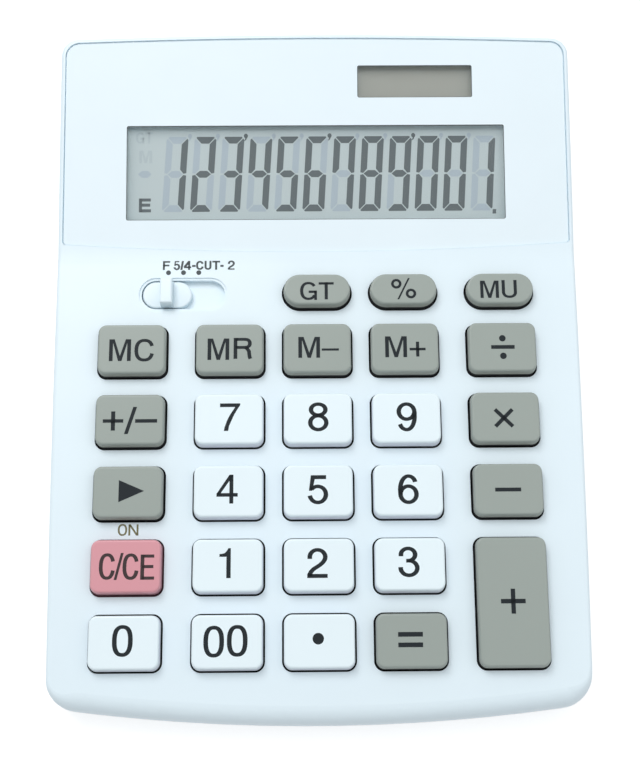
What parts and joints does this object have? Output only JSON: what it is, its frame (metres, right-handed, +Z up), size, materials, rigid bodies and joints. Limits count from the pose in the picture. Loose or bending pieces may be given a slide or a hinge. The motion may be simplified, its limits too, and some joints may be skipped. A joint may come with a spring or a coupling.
{
  "type": "desktop calculator",
  "caption": "White office calculator with a sloping key field, a raised clear window over a segment display and solar strip, finger keys in grey, white and rose, and a slide switch.",
  "frame": {"origin": "on the desk, under the middle of the case's length and width", "axes": "+X to the user's right, +Y from the front edge towards the display, +Z up"},
  "size_m": [0.128, 0.1676, 0.0319],
  "materials": {
    "case_white": "fine matt",
    "key_white": "satin",
    "key_grey": "satin",
    "key_red": "satin",
    "window_clear": "clear and glossy",
    "adhesive_black": "matt",
    "display_glass": "greenish grey behind glass",
    "clamp_plastic": "matt",
    "screw_steel": "zinc plated",
    "film_brown": "thin film",
    "solar_grey": "dull grey behind glass",
    "lead_black": "satin",
    "lead_red": "satin",
    "board_green": "varnished",
    "resin_black": "cast resin",
    "component_grey": "fired",
    "mat_rubber": "matt",
    "spring_metal": "nickel plated spring strip",
    "cell_steel": "bright",
    "foot_rubber": "matt"
  },
  "bodies": {
    "housing": {"upper_case": "case_white", "lower_case": "case_white", "display_window": "window_clear", "window_adhesive": "adhesive_black", "lcd_panel": "display_glass", "lcd_clamp": "clamp_plastic", "clamp_screws": "screw_steel", "display_ribbon": "film_brown", "solar_cell": "solar_grey", "solar_leads": "lead_black", "main_board": "board_green", "controller_chip": "resin_black", "board_components": "component_grey", "keypad_mat": "mat_rubber", "button_cell": "cell_steel", "battery_contact_plus": "spring_metal", "battery_contact_minus": "spring_metal", "battery_leads": "lead_red", "board_screws": "screw_steel", "case_screws": "screw_steel", "rubber_feet": "foot_rubber"},
    "key_0": {"key_0": "key_white"},
    "key_00": {"key_00": "key_white"},
    "key_point": {"key_point": "key_white"},
    "key_equals": {"key_equals": "key_grey"},
    "key_clear": {"key_clear": "key_red"},
    "key_1": {"key_1": "key_white"},
    "key_2": {"key_2": "key_white"},
    "key_3": {"key_3": "key_white"},
    "key_backspace": {"key_backspace": "key_grey"},
    "key_4": {"key_4": "key_white"},
    "key_5": {"key_5": "key_white"},
    "key_6": {"key_6": "key_white"},
    "key_minus": {"key_minus": "key_grey"},
    "key_sign": {"key_sign": "key_grey"},
    "key_7": {"key_7": "key_white"},
    "key_8": {"key_8": "key_white"},
    "key_9": {"key_9": "key_white"},
    "key_multiply": {"key_multiply": "key_grey"},
    "key_memory_clear": {"key_memory_clear": "key_grey"},
    "key_memory_recall": {"key_memory_recall": "key_grey"},
    "key_memory_minus": {"key_memory_minus": "key_grey"},
    "key_memory_plus": {"key_memory_plus": "key_grey"},
    "key_divide": {"key_divide": "key_grey"},
    "key_plus": {"key_plus": "key_grey"},
    "key_grand_total": {"key_grand_total": "key_grey"},
    "key_percent": {"key_percent": "key_grey"},
    "key_mark_up": {"key_mark_up": "key_grey"},
    "rounding_switch": {"rounding_switch": "case_white", "switch_brush": "spring_metal"},
    "battery_cover": {"battery_cover": "case_white"}
  },
  "joints": [
    {"name": "key_0_press", "type": "slide", "parent": "housing", "child": "key_0", "axis": [0, 0.0785, -0.9969], "range_m": [0, 0.0018], "stiffness_N_per_m": 400, "springref_m": -0.0005, "deforming": ["keypad_mat"]},
    {"name": "key_00_press", "type": "slide", "parent": "housing", "child": "key_00", "axis": [0, 0.0785, -0.9969], "range_m": [0, 0.0018], "stiffness_N_per_m": 400, "springref_m": -0.0005, "deforming": ["keypad_mat"]},
    {"name": "key_point_press", "type": "slide", "parent": "housing", "child": "key_point", "axis": [0, 0.0785, -0.9969], "range_m": [0, 0.0018], "stiffness_N_per_m": 400, "springref_m": -0.0005, "deforming": ["keypad_mat"]},
    {"name": "key_equals_press", "type": "slide", "parent": "housing", "child": "key_equals", "axis": [0, 0.0785, -0.9969], "range_m": [0, 0.0018], "stiffness_N_per_m": 400, "springref_m": -0.0005, "deforming": ["keypad_mat"]},
    {"name": "key_clear_press", "type": "slide", "parent": "housing", "child": "key_clear", "axis": [0, 0.0785, -0.9969], "range_m": [0, 0.0018], "stiffness_N_per_m": 400, "springref_m": -0.0005, "deforming": ["keypad_mat"]},
    {"name": "key_1_press", "type": "slide", "parent": "housing", "child": "key_1", "axis": [0, 0.0785, -0.9969], "range_m": [0, 0.0018], "stiffness_N_per_m": 400, "springref_m": -0.0005, "deforming": ["keypad_mat"]},
    {"name": "key_2_press", "type": "slide", "parent": "housing", "child": "key_2", "axis": [0, 0.0785, -0.9969], "range_m": [0, 0.0018], "stiffness_N_per_m": 400, "springref_m": -0.0005, "deforming": ["keypad_mat"]},
    {"name": "key_3_press", "type": "slide", "parent": "housing", "child": "key_3", "axis": [0, 0.0785, -0.9969], "range_m": [0, 0.0018], "stiffness_N_per_m": 400, "springref_m": -0.0005, "deforming": ["keypad_mat"]},
    {"name": "key_backspace_press", "type": "slide", "parent": "housing", "child": "key_backspace", "axis": [0, 0.0785, -0.9969], "range_m": [0, 0.0018], "stiffness_N_per_m": 400, "springref_m": -0.0005, "deforming": ["keypad_mat"]},
    {"name": "key_4_press", "type": "slide", "parent": "housing", "child": "key_4", "axis": [0, 0.0785, -0.9969], "range_m": [0, 0.0018], "stiffness_N_per_m": 400, "springref_m": -0.0005, "deforming": ["keypad_mat"]},
    {"name": "key_5_press", "type": "slide", "parent": "housing", "child": "key_5", "axis": [0, 0.0785, -0.9969], "range_m": [0, 0.0018], "stiffness_N_per_m": 400, "springref_m": -0.0005, "deforming": ["keypad_mat"]},
    {"name": "key_6_press", "type": "slide", "parent": "housing", "child": "key_6", "axis": [0, 0.0785, -0.9969], "range_m": [0, 0.0018], "stiffness_N_per_m": 400, "springref_m": -0.0005, "deforming": ["keypad_mat"]},
    {"name": "key_minus_press", "type": "slide", "parent": "housing", "child": "key_minus", "axis": [0, 0.0785, -0.9969], "range_m": [0, 0.0018], "stiffness_N_per_m": 400, "springref_m": -0.0005, "deforming": ["keypad_mat"]},
    {"name": "key_sign_press", "type": "slide", "parent": "housing", "child": "key_sign", "axis": [0, 0.0785, -0.9969], "range_m": [0, 0.0018], "stiffness_N_per_m": 400, "springref_m": -0.0005, "deforming": ["keypad_mat"]},
    {"name": "key_7_press", "type": "slide", "parent": "housing", "child": "key_7", "axis": [0, 0.0785, -0.9969], "range_m": [0, 0.0018], "stiffness_N_per_m": 400, "springref_m": -0.0005, "deforming": ["keypad_mat"]},
    {"name": "key_8_press", "type": "slide", "parent": "housing", "child": "key_8", "axis": [0, 0.0785, -0.9969], "range_m": [0, 0.0018], "stiffness_N_per_m": 400, "springref_m": -0.0005, "deforming": ["keypad_mat"]},
    {"name": "key_9_press", "type": "slide", "parent": "housing", "child": "key_9", "axis": [0, 0.0785, -0.9969], "range_m": [0, 0.0018], "stiffness_N_per_m": 400, "springref_m": -0.0005, "deforming": ["keypad_mat"]},
    {"name": "key_multiply_press", "type": "slide", "parent": "housing", "child": "key_multiply", "axis": [0, 0.0785, -0.9969], "range_m": [0, 0.0018], "stiffness_N_per_m": 400, "springref_m": -0.0005, "deforming": ["keypad_mat"]},
    {"name": "key_memory_clear_press", "type": "slide", "parent": "housing", "child": "key_memory_clear", "axis": [0, 0.0785, -0.9969], "range_m": [0, 0.0018], "stiffness_N_per_m": 400, "springref_m": -0.0005, "deforming": ["keypad_mat"]},
    {"name": "key_memory_recall_press", "type": "slide", "parent": "housing", "child": "key_memory_recall", "axis": [0, 0.0785, -0.9969], "range_m": [0, 0.0018], "stiffness_N_per_m": 400, "springref_m": -0.0005, "deforming": ["keypad_mat"]},
    {"name": "key_memory_minus_press", "type": "slide", "parent": "housing", "child": "key_memory_minus", "axis": [0, 0.0785, -0.9969], "range_m": [0, 0.0018], "stiffness_N_per_m": 400, "springref_m": -0.0005, "deforming": ["keypad_mat"]},
    {"name": "key_memory_plus_press", "type": "slide", "parent": "housing", "child": "key_memory_plus", "axis": [0, 0.0785, -0.9969], "range_m": [0, 0.0018], "stiffness_N_per_m": 400, "springref_m": -0.0005, "deforming": ["keypad_mat"]},
    {"name": "key_divide_press", "type": "slide", "parent": "housing", "child": "key_divide", "axis": [0, 0.0785, -0.9969], "range_m": [0, 0.0018], "stiffness_N_per_m": 400, "springref_m": -0.0005, "deforming": ["keypad_mat"]},
    {"name": "key_plus_press", "type": "slide", "parent": "housing", "child": "key_plus", "axis": [0, 0.0785, -0.9969], "range_m": [0, 0.0018], "stiffness_N_per_m": 400, "springref_m": -0.0005, "deforming": ["keypad_mat"]},
    {"name": "key_grand_total_press", "type": "slide", "parent": "housing", "child": "key_grand_total", "axis": [0, 0.0785, -0.9969], "range_m": [0, 0.0018], "stiffness_N_per_m": 400, "springref_m": -0.0005, "deforming": ["keypad_mat"]},
    {"name": "key_percent_press", "type": "slide", "parent": "housing", "child": "key_percent", "axis": [0, 0.0785, -0.9969], "range_m": [0, 0.0018], "stiffness_N_per_m": 400, "springref_m": -0.0005, "deforming": ["keypad_mat"]},
    {"name": "key_mark_up_press", "type": "slide", "parent": "housing", "child": "key_mark_up", "axis": [0, 0.0785, -0.9969], "range_m": [0, 0.0018], "stiffness_N_per_m": 400, "springref_m": -0.0005, "deforming": ["keypad_mat"]},
    {"name": "rounding_switch_slide", "type": "slide", "parent": "housing", "child": "rounding_switch", "axis": [1, 0, 0], "range_m": [0, 0.0078]},
    {"name": "battery_cover_slide", "type": "slide", "parent": "housing", "child": "battery_cover", "axis": [0, 1, 0], "range_m": [0, 0.02]}
  ]
}
